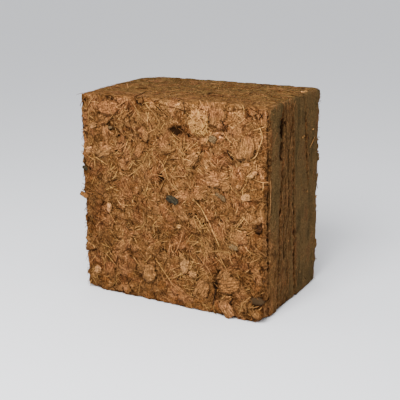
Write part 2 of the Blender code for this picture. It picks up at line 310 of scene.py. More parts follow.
def block_surface():
    """The block's fine surface: one closed grid laid on the CAD solid, with what each point is like."""
    solid = bmesh.new()
    solid.from_mesh(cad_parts["coir_bale"].data)
    bmesh.ops.remove_doubles(solid, verts=solid.verts, dist=1e-6)
    tree = BVHTree.FromBMesh(solid)
    solid.free()

    half = BLOCK / 2.0
    lifted = Vector((0.0, 0.0, half.z))
    xs = even_stations(-half.x, half.x, FACE_STEP) + [half.x]
    zs = [z + half.z for z in xs]
    ys, strips = stations_along()
    last = (len(xs) - 1, len(ys) - 1, len(zs) - 1)
    index, plain, points, outs, insets = {}, [], [], [], []

    def vertex(i, j, k):
        if (i, j, k) in index:
            return index[i, j, k]
        index[i, j, k] = len(points)
        x, z = xs[i], zs[k]
        y = leaning(ys[j], z)
        flat = Vector((x, y, z))
        centred = flat - lifted
        core = Vector(max(-h + FAN, min(h - FAN, c)) for c, h in zip(centred, half))
        out = (centred - core).normalized()
        core += lifted
        wobble = Vector((0.0, 0.0, 0.0))
        if abs(out.y) < 0.5:
            wobble.y = CRACK_WOBBLE * (noise.noise(flat / 0.009) + 0.6 * noise.noise(flat / 0.0035))
        hit = tree.ray_cast(core + wobble + out * (FAN + 0.03), -out)[0]
        spot = hit - wobble if hit else core + out * FAN
        plain.append(core + out * FAN)
        points.append(spot)
        outs.append(out)
        insets.append((core + out * FAN - spot).dot(out))
        return index[i, j, k]

    faces, sides_of = [], []
    for axis in range(3):
        u, v = (axis + 1) % 3, (axis + 2) % 3
        for side in (0, last[axis]):
            for a in range(last[u]):
                for b in range(last[v]):
                    corners = []
                    for da, db in ((0, 0), (1, 0), (1, 1), (0, 1)):
                        spot = [0, 0, 0]
                        spot[axis], spot[u], spot[v] = side, a + da, b + db
                        corners.append(vertex(*spot))
                    faces.append(corners if side else corners[::-1])
                    sides_of.append(axis)

    ring = [(i, k) for i in range(last[0] + 1) for k in (0, last[2])]
    ring += [(i, k) for k in range(1, last[2]) for i in (0, last[0])]
    crack, beside = opened_cracks(strips, ring, index, ys, insets, plain)

    rough, shaded_gaps, slits, lips, loose, dark, faded, moved = [], [], [], [], [], [], [], []
    bare_of_fibre, bare_of_chips = [], []
    for at, (point, out, level) in enumerate(zip(points, outs, plain)):
        face = smooth_step(0.35, 0.8, abs(out.y))
        upward = smooth_step(0.4, 0.8, out.z)
        crust, band, wander = worn(level, out)
        lip = beside[at] * (1.0 - face)
        roughness = max(face, 0.75 * crust, 0.45 * band, 0.5 * lip, 0.35 * upward)
        relief, gap = flake_relief(point)
        grit = SMOOTH_GRIT * noise.turbulence(point / 0.0026, 2, False)
        depth, hollow, bare = in_hollow(point, out)
        shift = roughness * relief + (1.0 - roughness) * grit - depth
        shift -= CRACK_CARVE * crack[at] * (1.0 - 0.6 * upward)
        tear = torn(level, out)
        shift -= TEAR_DEPTH * tear
        foot = fading(*FOOT_Z, level.z + 0.4 * wander) * smooth_step(-0.6, 0.2, out.z + 0.8)
        foot *= 0.35 + 0.65 * (1.0 - face)
        shift -= FOOT_DEPTH * foot
        shift += LIP_HEIGHT * lip * noise.noise(point / 0.0030 + Vector((5.0, 5.0, 5.0)))
        place = point + out * shift
        if level.y > 0.0:
            limit = half.x + BACK_REACH + 0.5 * BACK_REACH * noise.noise(level / 0.012)
            place.x = max(-limit, min(limit, place.x))
        place.z = max(0.0, place.z)
        moved.append(place)
        rough.append(roughness)
        slit = max(crack[at] * (1.0 - 0.7 * upward), 0.85 * tear)
        dark.append(in_zones(SHADE_AND_DARK_ZONES, level, out))
        faded.append(in_zones(LIGHT_AND_PALE_ZONES, level, out))
        slits.append(slit)
        # Painted shade: dark between flakes, in hollows, down cracks and torn lines, and under the foot.
        shaded_gaps.append(max(gap * roughness, hollow, slit, foot))
        bare_of_fibre.append(hollow)
        bare_of_chips.append(bare)
        lips.append(lip)
        loose.append(max(band, 0.5 * crust) * (1.0 - face))

    mesh = bpy.data.meshes.new("pressed_coir")
    mesh.from_pydata(moved, [], faces)
    looks = {"rough": rough, "gap": shaded_gaps, "lip": lips, "loose": loose, "dark": dark, "faded": faded}
    front = [smooth_step(0.5, 0.9, -out.y) for out in outs]
    rear = [smooth_step(0.5, 0.9, out.y) for out in outs]
    beyond = half.x - RAGGED_RIM
    inner = [max(abs(p.x), abs(p.z - half.z)) < beyond for p in plain]
    walls = [(1.0 - max(f, b)) * (out.z > -0.7) for f, b, out in zip(front, rear, outs)]
    tops = [w * smooth_step(0.5, 0.8, out.z) for w, out in zip(walls, outs)]
    sides = [w - t for w, t in zip(walls, tops)]
    tops = [t * (abs(p.x) < half.x - MOULD_RIM) for t, p in zip(tops, plain)]
    sides = [s * (abs(p.z - half.z) < half.z - MOULD_RIM) for s, p in zip(sides, plain)]
    fringe = [w * (1.0 - s) ** 2 * max(l, 0.7 * o) for w, s, l, o in zip(walls, slits, lips, loose)]
    fringe = [f * (1.0 - h) for f, h in zip(fringe, bare_of_fibre)]
    masks = {
        "on_top": tops, "on_sides": sides, "on_fringe": fringe,
        "on_front": [f * (1.0 - h) * (0.5 + 0.5 * i) for f, h, i in zip(front, bare_of_fibre, inner)],
        "on_back": [b * (0.3 + 0.7 * i) for b, i in zip(rear, inner)],
        "in_front": [f * (1.0 - h) * (0.15 + 0.85 * i) for f, h, i in zip(front, bare_of_chips, inner)],
        "in_back": [b * i for b, i in zip(rear, inner)],
    }
    clumps = [0.35 + 0.65 * smooth_step(-0.110, 0.010, p.x + 0.08 * noise.noise(p / 0.030)) for p in plain]
    masks["strands_front"] = [share * c for share, c in zip(masks["in_front"], clumps)]
    masks["strands_back"] = masks["in_back"]
    for name, values in {**looks, **masks}.items():
        mesh.attributes.new(name, "FLOAT", "POINT").data.foreach_set("value", values)
    lie = []
    for out, place in zip(outs, moved):
        swirl = 9.0 * noise.noise(place / 0.050)
        if abs(out.x) > max(abs(out.y), abs(out.z)):
            lie += (0.0, 0.0, 1.0)
        elif abs(out.y) > abs(out.z):
            lie += (math.cos(swirl), 0.0, math.sin(swirl))
        else:
            lie += (math.cos(0.5 * swirl), math.sin(0.5 * swirl), 0.0)
    mesh.attributes.new("lie", "FLOAT_VECTOR", "POINT").data.foreach_set("vector", lie)
    lay = []
    for corners, axis in zip(faces, sides_of):
        u, v = ((1, 2), (0, 2), (0, 1))[axis]
        for corner in corners:
            lay += (MILLIMETRES * moved[corner][u], MILLIMETRES * moved[corner][v])
    mesh.uv_layers.new(name="lay").data.foreach_set("uv", lay)
    mesh.shade_smooth()
    return mesh


def add(tree, kind, values=None, **settings):
    """A new node with these settings, and with these values or links in its sockets."""
    made = tree.nodes.new(kind)
    for name, value in settings.items():
        setattr(made, name, value)
    for key, value in (values or {}).items():
        if isinstance(value, bpy.types.NodeSocket):
            tree.links.new(value, made.inputs[key])
        else:
            made.inputs[key].default_value = value
    return made


def ramp(tree, factor, *stops):
    """A colour ramp through (position, colour) pairs."""
    made = add(tree, "ShaderNodeValToRGB", {"Fac": factor})
    elements = made.color_ramp.elements
    while len(elements) < len(stops):
        elements.new(0.5)
    for element, (position, colour) in zip(elements, stops):
        element.position = position
        element.color = (*colour, 1.0)
    return made.outputs["Color"]


def span(tree, value, low, high, to_low=0.0, to_high=1.0):
    """A value taken from one range to another, and kept within it."""
    made = add(tree, "ShaderNodeMapRange", {
        "Value": value, "From Min": low, "From Max": high, "To Min": to_low, "To Max": to_high})
    return made.outputs["Result"]


def math_node(tree, operation, first, second):
    return add(tree, "ShaderNodeMath", {0: first, 1: second}, operation=operation).outputs[0]


def blend(tree, factor, first, second, kind="MIX"):
    """Two colours mixed."""
    made = add(tree, "ShaderNodeMix", {0: factor, 6: first, 7: second}, data_type="RGBA", blend_type=kind)
    return made.outputs[2]


def grain(tree, coordinates, size, detail=3.0, stretch=(1.0, 1.0, 1.0), turn=(0.0, 0.0, 0.0),
          distortion=0.0):
    """Noise whose bumps are about this many metres across, drawn out along an axis."""
    scaled = add(tree, "ShaderNodeMapping", {
        "Vector": coordinates, "Rotation": turn,
        "Scale": tuple(1.0 / (size * s) for s in stretch)})
    made = add(tree, "ShaderNodeTexNoise", {
        "Vector": scaled.outputs[0], "Scale": 1.0, "Detail": detail, "Distortion": distortion})
    return made.outputs["Fac"]


def strand_lines(tree, coordinates, size, width, turn=(0.0, 0.0, 0.0), stretch=(1.0, 1.0, 1.0)):
    """Thin curling lines, like loose fibre: where a smooth noise crosses its middle value."""
    field = grain(tree, coordinates, size, detail=1.0, turn=turn, stretch=stretch)
    off = math_node(tree, "ABSOLUTE", math_node(tree, "SUBTRACT", field, 0.5), 0.0)
    return span(tree, off, 0.0, width, 1.0, 0.0)


def contrast(tree, value, low, high, spread=0.1):
    """A grey factor that runs from low to high as a noise goes through its middle value."""
    return ramp(tree, value, (0.5 - spread, (low,) * 3), (0.5, (1.0,) * 3), (0.5 + spread, (high,) * 3))


def shaded(tree, colour, value, low, high, spread=0.1):
    """The colour made darker or lighter by such a factor."""
    return blend(tree, 1.0, colour, contrast(tree, value, low, high, spread), "MULTIPLY")


def attribute(tree, name):
    """What the mesh's own attribute says of each place, such as how rough it is."""
    return add(tree, "ShaderNodeAttribute", attribute_name=name).outputs["Fac"]


def bumped(tree, shader, height, distance, strength):
    """Raises the surface by a height, this many metres for each unit of it."""
    bump = add(tree, "ShaderNodeBump", {"Height": height, "Distance": distance, "Strength": strength})
    tree.links.new(bump.outputs[0], shader.inputs["Normal"])


def fibre_patches(tree, lay, size, thickness, length=7.0):
    """Streaks that run their own way in each torn patch, and a number that is each patch's own.

    The coordinates and sizes are millimetres on the surface."""
    warp = add(tree, "ShaderNodeTexNoise", {"Vector": lay, "Scale": 0.9 / size, "Detail": 4.0})
    bend = add(tree, "ShaderNodeVectorMath", {
        0: warp.outputs["Color"], "Scale": 1.5 * size}, operation="SCALE")
    bent = add(tree, "ShaderNodeVectorMath", {0: lay, 1: bend.outputs[0]}, operation="ADD")
    cells = add(tree, "ShaderNodeTexVoronoi", {
        "Vector": bent.outputs[0], "Scale": 1.0 / size}, voronoi_dimensions="2D")
    own = add(tree, "ShaderNodeSeparateColor", {0: cells.outputs["Color"]}).outputs
    turned = add(tree, "ShaderNodeVectorRotate", {
        "Vector": lay, "Angle": math_node(tree, "MULTIPLY", own[0], math.pi)}, rotation_type="Z_AXIS")
    streaks = grain(
        tree, turned.outputs[0], thickness, detail=4.0, stretch=(length, 1.0, 1.0), distortion=0.5)
    return streaks, own[1]


def drifting(tree, place, colour):
    """The colour as it drifts over the rough faces, olive in one patch and pinkish in the next, with
    painted light brightening the paler zones.
    """
    patches = grain(tree, place, 0.030, detail=2.0, distortion=0.6)
    tint = ramp(tree, patches, (0.36, OLIVE_TINT), (0.50, (1.0, 1.0, 1.0)), (0.64, PINK_TINT))
    colour = blend(tree, 1.0, colour, tint, "MULTIPLY")
    # Painted light, with some paler coir: the paler zones brighten the colour.
    return blend(tree, attribute(tree, "faded"), colour, LIGHT_AND_PALE_TINT, "MULTIPLY")


def new_finish(name, roughness, specular):
    """A new material with its node tree and its Principled shader."""
    material = bpy.data.materials.new(name)
    material.use_nodes = True
    shader = material.node_tree.nodes["Principled BSDF"]
    shader.inputs["Roughness"].default_value = roughness
    shader.inputs["Specular IOR Level"].default_value = specular
    return material, material.node_tree, shader


UMBER = (0.028, 0.010, 0.0026)
BROWN = (0.085, 0.032, 0.0088)
DULL_BROWN = (0.078, 0.038, 0.0145)
RUST = (0.140, 0.057, 0.0158)
TAN = (0.180, 0.081, 0.0255)
PALE_TAN = (0.264, 0.124, 0.0430)
STRAW = (0.375, 0.190, 0.0580)
OLIVE = (0.051, 0.032, 0.0122)
OLIVE_LIGHT = (0.084, 0.049, 0.0185)
MAT_OLIVE = (0.074, 0.043, 0.0125)
MAT_BROWN = (0.098, 0.047, 0.0132)
MAT_TAN = (0.140, 0.064, 0.0170)
# The colour of painted shade in gaps, hollows, cracks, torn lines, the foot and pits.
PAINTED_SHADE_COLOUR = (0.010, 0.004, 0.0015)
# Painted shade, with some darker coir: the colour that a place wholly in the darker zones keeps.
SHADE_AND_DARK_KEEPS = (0.38, 0.30, 0.25, 1.0)  # what a wholly darkened place keeps of its colour
OLIVE_TINT = (0.91, 0.93, 0.92)
PINK_TINT = (1.09, 1.00, 1.09)
# Painted light, with some paler coir: how much a place wholly in the paler zones is brightened.
LIGHT_AND_PALE_TINT = (1.28, 1.27, 1.33, 1.0)


def pressed_coir():
    """Pith and fibre: jumbled and warm where it is rough, olive and burnished where the mould rubbed."""
    material, tree, shader = new_finish("pressed_coir", roughness=0.95, specular=0.02)
    place = add(tree, "ShaderNodeTexCoord").outputs["Object"]
    lay = add(tree, "ShaderNodeUVMap", uv_map="lay").outputs["UV"]
    rough = attribute(tree, "rough")

    streaks, tone = fibre_patches(tree, lay, size=11.0, thickness=1.3)
    drift = grain(tree, place, 0.030, detail=3.0)
    tone = math_node(tree, "MULTIPLY", math_node(tree, "ADD", tone, drift), 0.5)
    jumble = ramp(tree, tone, (0.15, BROWN), (0.35, RUST), (0.55, TAN), (0.75, PALE_TAN))
    jumble = shaded(tree, jumble, streaks, 0.55, 1.5)
    crumbs = grain(tree, place, 0.0024, detail=5.0)
    jumble = shaded(tree, jumble, crumbs, 0.50, 1.40)
    pale_lines = strand_lines(tree, place, 0.0090, 0.012)
    jumble = blend(tree, math_node(tree, "MULTIPLY", pale_lines, 0.45), jumble, (*PALE_TAN, 1.0))

    rubbed = grain(tree, place, 0.0026, detail=5.0, stretch=(1.0, 1.0, 1.7), distortion=0.4)
    clouds = grain(tree, place, 0.030, detail=4.0, stretch=(1.0, 0.6, 1.6))
    burnished = ramp(tree, clouds, (0.36, OLIVE), (0.52, OLIVE_LIGHT), (0.70, DULL_BROWN))
    burnished = shaded(tree, burnished, rubbed, 0.84, 1.18)
    specks = grain(tree, place, 0.0013, detail=3.0, stretch=(1.0, 1.6, 1.2), turn=(0.9, 0.5, 0.2))
    burnished = shaded(tree, burnished, specks, 0.74, 1.34)
    # Painted shade: dark specks stand for the shade in small pits of the rubbed sides.
    pits = grain(tree, place, 0.0060, detail=3.0)
    burnished = blend(tree, span(tree, pits, 0.34, 0.30, 0.0, 0.75), burnished, (*PAINTED_SHADE_COLOUR, 1.0))
    burnished = blend(tree, span(tree, pits, 0.71, 0.74, 0.0, 0.7), burnished, (*PALE_TAN, 1.0))
    depth = add(tree, "ShaderNodeSeparateXYZ", {0: place}).outputs["Y"]
    worn_in = math_node(tree, "ADD", span(tree, depth, -0.080, 0.060, 0.55, 0.35),
                        math_node(tree, "MULTIPLY", drift, 0.50))
    matted = ramp(tree, worn_in, (0.60, MAT_OLIVE), (0.78, MAT_BROWN), (0.90, MAT_TAN))
    matted = shaded(tree, matted, streaks, 0.42, 1.9)
    matted = shaded(tree, matted, specks, 0.62, 1.55)
    burnished = blend(tree, math_node(tree, "MULTIPLY", attribute(tree, "on_top"), 0.8), burnished, matted)

    jumble = drifting(tree, place, jumble)
    colour = blend(tree, span(tree, rough, 0.35, 0.85), burnished, jumble)
    broken = shaded(tree, (*DULL_BROWN, 1.0), crumbs, 0.50, 1.40)
    broken = shaded(tree, broken, rubbed, 0.5, 1.8)
    for name, share in (("lip", 0.40), ("loose", 0.35)):
        colour = blend(tree, math_node(tree, "MULTIPLY", attribute(tree, name), share), colour, broken)
    # Painted shade, with some darker coir: the darker zones over hollows and at the front's edges.
    colour = blend(tree, attribute(tree, "dark"), colour, SHADE_AND_DARK_KEEPS, "MULTIPLY")
    # Painted shade: gaps, hollows, cracks, torn lines and the foot turn nearly black.
    ragged = math_node(tree, "ADD", attribute(tree, "gap"), math_node(tree, "SUBTRACT", crumbs, 0.5))
    colour = blend(tree, span(tree, ragged, 0.25, 0.75, 0.0, 0.95), colour, (*PAINTED_SHADE_COLOUR, 1.0))
    tree.links.new(colour, shader.inputs["Base Color"])

    relief = math_node(tree, "ADD", crumbs, math_node(tree, "MULTIPLY", streaks, 0.6))
    relief = math_node(tree, "MULTIPLY", relief, span(tree, rough, 0.1, 0.8, 0.35, 1.0))
    bumped(tree, shader, relief, distance=0.0014, strength=0.9)
    return material


noise.seed_set(FLAKE_SEED)
block = bpy.data.objects.new("pressed_coir", block_surface())
bpy.context.scene.collection.objects.link(block)
block.data.materials.append(pressed_coir())
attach(block, "root")
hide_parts("coir_bale")

# Husk chips. The chopped outer husk of the nut breaks into thin curled flakes, which lie every
# way in the rough faces, some flat and some with an edge standing out.
CHIP_SHAPES = 14
CHIP_LENGTH = 0.020
CHIP_PLUMP = (0.0012, 0.0026)  # thickness at a chip's middle
CHIP_BUMPS = 0.0003
CHIP_CELLS = (4, 3)
BROAD_CELLS = (7, 5)
BROAD_FLATNESS = 0.35  # what a broad chip keeps of a small one's curl
CRUMB_RADIUS = 0.0015


def variants(name, count, seed, make):
    """A collection of ready shapes for the scattering to pick from. It isn't linked to the scene."""
    rng = random.Random(seed)
    found = bpy.data.collections.new(name)
    for i in range(count):
        found.objects.link(bpy.data.objects.new(f"{name}_{i}", make(rng, f"{name}_{i}")))
    return found


def with_grain(mesh, along):
    """Gives every corner of the mesh its place along and across the fibre, in millimetres."""
    layer = mesh.uv_layers.new(name="grain")
    for loop in mesh.loops:
        layer.data[loop.index].uv = along[loop.vertex_index]
    return mesh


def torn_chip(rng, name, cells=CHIP_CELLS, flatness=0.6):
    """A flake that is thick in its middle, curled and twisted, with torn ends and edges."""
    columns, rows = cells
    long = CHIP_LENGTH / 2.0
    wide = long * rng.uniform(0.38, 0.85)
    curl, bow, twist = rng.uniform(-0.30, 0.55), rng.uniform(-0.25, 0.45), rng.uniform(-0.5, 0.5)
    curl, bow, twist = curl * flatness, bow * flatness, twist * flatness
    blunt = rng.uniform(0.35, 0.8)
    plump = rng.uniform(*CHIP_PLUMP)
    points, along, index = [], [], {}
    for level in (1, -1):
        for i in range(columns + 1):
            for j in range(rows + 1):
                on_rim = i in (0, columns) or j in (0, rows)
                if on_rim and level < 0:
                    index[level, i, j] = index[1, i, j]
                    continue
                u, v = 2.0 * i / columns - 1.0, 2.0 * j / rows - 1.0
                taper = 1.0 - (1.0 - blunt) * abs(u) ** 2.2
                x = long * u * (1.0 + (rng.uniform(-0.28, 0.12) if i in (0, columns) else 0.0))
                y = wide * v * taper * (1.0 + (rng.uniform(-0.30, 0.15) if j in (0, rows) else 0.0))
                x += long * rng.uniform(-0.06, 0.06)
                z = curl * y * y / wide + bow * x * x / long + twist * x * y / long
                z += rng.uniform(-CHIP_BUMPS, CHIP_BUMPS)
                if not on_rim:
                    z += level * plump / 2.0
                index[level, i, j] = len(points)
                points.append((x, y, z))
                along.append((MILLIMETRES * x, MILLIMETRES * y))
    faces = []
    for level in (1, -1):
        for i in range(columns):
            for j in range(rows):
                corners = [index[level, i + a, j + b] for a, b in ((0, 0), (1, 0), (1, 1), (0, 1))]
                faces.append(corners if level > 0 else corners[::-1])
    mesh = bpy.data.meshes.new(name)
    mesh.from_pydata(points, [], faces)
    mesh.shade_smooth()
    return with_grain(mesh, along)


def broad_chip(rng, name):
    """A larger, flatter flake, lying in the pressed face."""
    return torn_chip(rng, name, BROAD_CELLS, BROAD_FLATNESS)


def crumb(rng, name):
    """A crumb of pith: a small lump with few faces."""
    points, along = [], []
    for x, y, z in ((1, 0, 0), (0.2, 1, 0), (-1, 0.1, 0), (-0.1, -1, 0), (0, 0, 0.6), (0, 0, -0.6)):
        point = Vector((x, y, z)) + Vector([rng.uniform(-0.3, 0.3) for _ in range(3)])
        points.append(point * CRUMB_RADIUS)
        along.append((MILLIMETRES * points[-1].x, MILLIMETRES * points[-1].y))
    faces = [(i, (i + 1) % 4, 4) for i in range(4)] + [((i + 1) % 4, i, 5) for i in range(4)]
    mesh = bpy.data.meshes.new(name)
    mesh.from_pydata(points, [], faces)
    return with_grain(mesh, along)


def scatter_tree():
    """Geometry Nodes that press shapes into a surface, each at its own turn, tilt, size and depth."""
    tree = bpy.data.node_groups.new("pressed_in", "GeometryNodeTree")
    face = tree.interface
    face.new_socket("Geometry", in_out="INPUT", socket_type="NodeSocketGeometry")
    for name, kind in (
        ("Shapes", "NodeSocketCollection"), ("Finish", "NodeSocketMaterial"), ("Where", "NodeSocketString"),
        ("Spacing", "NodeSocketFloat"), ("Density", "NodeSocketFloat"), ("Seed", "NodeSocketInt"),
        ("Tilt", "NodeSocketFloat"), ("Smallest", "NodeSocketFloat"), ("Largest", "NodeSocketFloat"),
        ("Deepest", "NodeSocketFloat"), ("Highest", "NodeSocketFloat"), ("Tone Low", "NodeSocketFloat"),
        ("Tone High", "NodeSocketFloat"), ("Favour Small", "NodeSocketFloat"),
        ("Combed", "NodeSocketFloat"), ("Spin", "NodeSocketFloat"),
    ):
        face.new_socket(name, in_out="INPUT", socket_type=kind)
    face.new_socket("Geometry", in_out="OUTPUT", socket_type="NodeSocketGeometry")
    given = tree.nodes.new("NodeGroupInput").outputs

    def draw(low, high, shift, kind="FLOAT"):
        seed = add(tree, "ShaderNodeMath", {0: given["Seed"], 1: float(shift)}, operation="ADD").outputs[0]
        made = add(tree, "FunctionNodeRandomValue", {"Seed": seed}, data_type=kind)
        slot = {"FLOAT": (2, 3, 1), "FLOAT_VECTOR": (0, 1, 0), "INT": (4, 5, 2)}[kind]
        for value, at in ((low, slot[0]), (high, slot[1])):
            if isinstance(value, bpy.types.NodeSocket):
                tree.links.new(value, made.inputs[at])
            else:
                made.inputs[at].default_value = value
        return made.outputs[slot[2]]

    mask = add(tree, "GeometryNodeInputNamedAttribute", {"Name": given["Where"]}, data_type="FLOAT")
    spots = add(tree, "GeometryNodeDistributePointsOnFaces", {
        "Mesh": given["Geometry"], "Distance Min": given["Spacing"], "Density Max": given["Density"],
        "Density Factor": mask.outputs[0], "Seed": given["Seed"]}, distribute_method="POISSON")
    depth = draw(given["Deepest"], given["Highest"], 1)
    lift = add(tree, "ShaderNodeVectorMath", {
        0: spots.outputs["Normal"], "Scale": depth}, operation="SCALE")
    sunk = add(tree, "GeometryNodeSetPosition", {
        "Geometry": spots.outputs["Points"], "Offset": lift.outputs[0]})
    highest = add(tree, "ShaderNodeCombineXYZ", {0: given["Tilt"], 1: given["Tilt"], 2: given["Spin"]})
    lowest = add(tree, "ShaderNodeVectorMath", {0: highest.outputs[0], "Scale": -1.0}, operation="SCALE")
    turn = draw(lowest.outputs[0], highest.outputs[0], 2, "FLOAT_VECTOR")
    lie = add(tree, "GeometryNodeInputNamedAttribute", {"Name": "lie"}, data_type="FLOAT_VECTOR")
    combed = add(tree, "FunctionNodeAlignRotationToVector", {
        "Rotation": spots.outputs["Rotation"], "Factor": given["Combed"], "Vector": lie.outputs[0]},
        axis="X", pivot_axis="Z")
    turned = add(tree, "FunctionNodeRotateRotation", {
        "Rotation": combed.outputs[0], "Rotate By": turn}, rotation_space="LOCAL")
    share = add(tree, "ShaderNodeMath", {0: draw(0.0, 1.0, 3), 1: given["Favour Small"]}, operation="POWER")
    size = add(tree, "ShaderNodeMapRange", {
        "Value": share.outputs[0], "To Min": given["Smallest"], "To Max": given["Largest"]})
    shapes = add(tree, "GeometryNodeCollectionInfo", {
        "Collection": given["Shapes"], "Separate Children": True, "Reset Children": True})
    copies = add(tree, "GeometryNodeInstanceOnPoints", {
        "Points": sunk.outputs[0], "Instance": shapes.outputs[0], "Pick Instance": True,
        "Instance Index": draw(0, 1000, 4, "INT"), "Rotation": turned.outputs[0], "Scale": size.outputs[0]})
    toned = add(tree, "GeometryNodeStoreNamedAttribute", {
        "Geometry": copies.outputs[0], "Name": "tone",
        "Value": draw(given["Tone Low"], given["Tone High"], 5)}, data_type="FLOAT", domain="INSTANCE")
    joined = add(tree, "GeometryNodeRealizeInstances", {"Geometry": toned.outputs[0]})
    finished = add(tree, "GeometryNodeSetMaterial", {
        "Geometry": joined.outputs[0], "Material": given["Finish"]})
    result = tree.nodes.new("NodeGroupOutput")
    tree.links.new(finished.outputs[0], result.inputs[0])
    return tree


PRESSED_IN = scatter_tree()
MOULD_SLACK = 0.0020  # chips and fibre stand this far out of the left and right sides
FACE_SLACK = 0.0050  # this far out of the front and the back
TOP_SLACK = 0.0014  # this far out of the top
TOP_SWELL = 0.0032  # and this much more over the swollen middle of the top
MOULD_GIVE = 0.12  # and this share of what would reach further
FLOOR_GAP = 0.0002  # nothing loose reaches lower than this


def pressed_in(name, shapes, finish, where, seed, **sizes):
    """A plain mesh of shapes scattered over the block, as one piece that rides with it."""
    piece = bpy.data.objects.new(name, block.data.copy())
    bpy.context.scene.collection.objects.link(piece)
    work = piece.modifiers.new("pressed_in", "NODES")
    work.node_group = PRESSED_IN
    given = {"Shapes": shapes, "Finish": finish, "Where": where, "Seed": seed, "Spin": math.pi}
    given.update({key.replace("_", " ").title(): value for key, value in sizes.items()})
    for item in PRESSED_IN.interface.items_tree:
        if item.in_out == "INPUT" and item.name in given:
            work[item.identifier] = given[item.name]
    depsgraph = bpy.context.evaluated_depsgraph_get()
    mesh = bpy.data.meshes.new_from_object(piece.evaluated_get(depsgraph), depsgraph=depsgraph)
    piece.modifiers.remove(work)
    old, piece.data = piece.data, mesh
    bpy.data.meshes.remove(old)
    mesh.name = name
    held_by_mould(mesh)
    above_floor(mesh)
    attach(piece, "root")


def held_by_mould(mesh):
    """What would reach out past the block's edges was pushed back by the mould, most of the way."""
    limits = (BLOCK.x / 2.0 + MOULD_SLACK, BLOCK.y / 2.0 + FACE_SLACK, BLOCK.z / 2.0 + TOP_SLACK)
    for vertex in mesh.vertices:
        shares = [max(0.0, 1.0 - (2.0 * vertex.co[axis] / BLOCK[axis]) ** 8) for axis in (0, 1)]
        swell = Vector((0.0, 0.0, TOP_SWELL * shares[0] * shares[1]))
        for axis, (limit, middle) in enumerate(zip(swell + Vector(limits), (0.0, 0.0, BLOCK.z / 2.0))):
            off = vertex.co[axis] - middle
            over = abs(off) - limit
            if over > 0.0:
                vertex.co[axis] = middle + math.copysign(limit + MOULD_GIVE * over, off)


def above_floor(mesh):
    """Nothing reaches below the surface that the bale stands on."""
    for vertex in mesh.vertices:
        vertex.co.z = max(FLOOR_GAP, vertex.co.z)


def husk_chip():
    """Torn husk: warm brown with a straight grain, each chip of its own tone, with pith on it."""
    material, tree, shader = new_finish("husk_chip", roughness=0.85, specular=0.08)
    place = add(tree, "ShaderNodeTexCoord").outputs["Object"]
    along = add(tree, "ShaderNodeUVMap", uv_map="grain").outputs["UV"]
    tone = attribute(tree, "tone")
    apart = add(tree, "ShaderNodeCombineXYZ", {
        0: math_node(tree, "MULTIPLY", tone, 917.0), 1: math_node(tree, "MULTIPLY", tone, 613.0)})
    along = add(tree, "ShaderNodeVectorMath", {0: along, 1: apart.outputs[0]}, operation="ADD").outputs[0]
    colour = ramp(
        tree, tone, (0.00, UMBER), (0.14, BROWN), (0.45, RUST),
        (0.70, TAN), (0.90, PALE_TAN), (1.00, STRAW))
    fibres = grain(tree, along, 0.8, detail=4.0, stretch=(8.0, 1.0, 1.0), distortion=0.4)
    colour = shaded(tree, colour, fibres, 0.50, 1.60)
    pith = grain(tree, place, 0.0018, detail=4.0)
    colour = shaded(tree, colour, pith, 0.52, 1.52)
    dust = grain(tree, place, 0.010, detail=3.0)
    colour = blend(tree, span(tree, dust, 0.52, 0.66, 0.0, 0.6), colour, (*BROWN, 1.0))
    colour = drifting(tree, place, colour)
    # Painted shade, with some darker coir: chips in the darker zones are darkened too.
    colour = blend(tree, attribute(tree, "dark"), colour, SHADE_AND_DARK_KEEPS, "MULTIPLY")
    tree.links.new(colour, shader.inputs["Base Color"])
    bumped(tree, shader, math_node(tree, "ADD", fibres, pith), distance=0.0010, strength=0.8)
    tree.links.new(span(tree, pith, 0.3, 0.7, 0.95, 0.75), shader.inputs["Roughness"])
    return material


chip_shapes = variants("torn_chip", CHIP_SHAPES, 21, torn_chip)
broad_shapes = variants("broad_chip", CHIP_SHAPES, 22, broad_chip)
crumb_shapes = variants("crumb", CHIP_SHAPES, 23, crumb)
chip_finish = husk_chip()
for side, seed in (("front", 31), ("back", 32)):
    pressed_in(
        f"broad_chips_{side}", broad_shapes, chip_finish, f"in_{side}", seed,
        spacing=0.0150, density=3600.0, tilt=math.radians(3), smallest=0.80, largest=2.0,
        favour_small=1.2, deepest=-0.0016, highest=-0.0002, tone_low=0.48, tone_high=0.70)
    pressed_in(
        f"husk_chips_{side}", chip_shapes, chip_finish, f"in_{side}", seed + 10,
        spacing=0.0100, density=4500.0, tilt=math.radians(6), smallest=0.28, largest=0.85,
        favour_small=1.3, deepest=-0.0016, highest=0.0002, tone_low=0.34, tone_high=0.73)
    pressed_in(
        f"crumbs_{side}", crumb_shapes, chip_finish, f"on_{side}", seed + 20,
        spacing=0.0040, density=14000.0, tilt=math.radians(60), smallest=0.3, largest=1.0,
        favour_small=1.5, deepest=-0.0002, highest=0.0008, tone_low=0.10, tone_high=0.85)
pressed_in(
    "flakes_mould_sides", broad_shapes, chip_finish, "on_fringe", 61,
    spacing=0.0060, density=9000.0, tilt=math.radians(6), smallest=0.14, largest=0.45, favour_small=1.3,
    deepest=-0.0009, highest=-0.0002, tone_low=0.05, tone_high=0.60)

# Fibres. Coir is the coarse hair of the husk: pale to brown strands that curl loosely over the
# rough faces, and lie pressed flat in the mould sides.
STRAND_SHAPES = 16
STRAND_THICK = 0.00022  # radius of a single hair
BUNDLE_THICK = 0.00062  # half the width of a flat bundle of hairs
STRAND_LENGTH = (0.014, 0.036)
BUNDLE_LENGTH = (0.009, 0.022)
HAIR_LENGTH = (0.006, 0.020)
PALEST_STRAW = (0.510, 0.270, 0.0800)


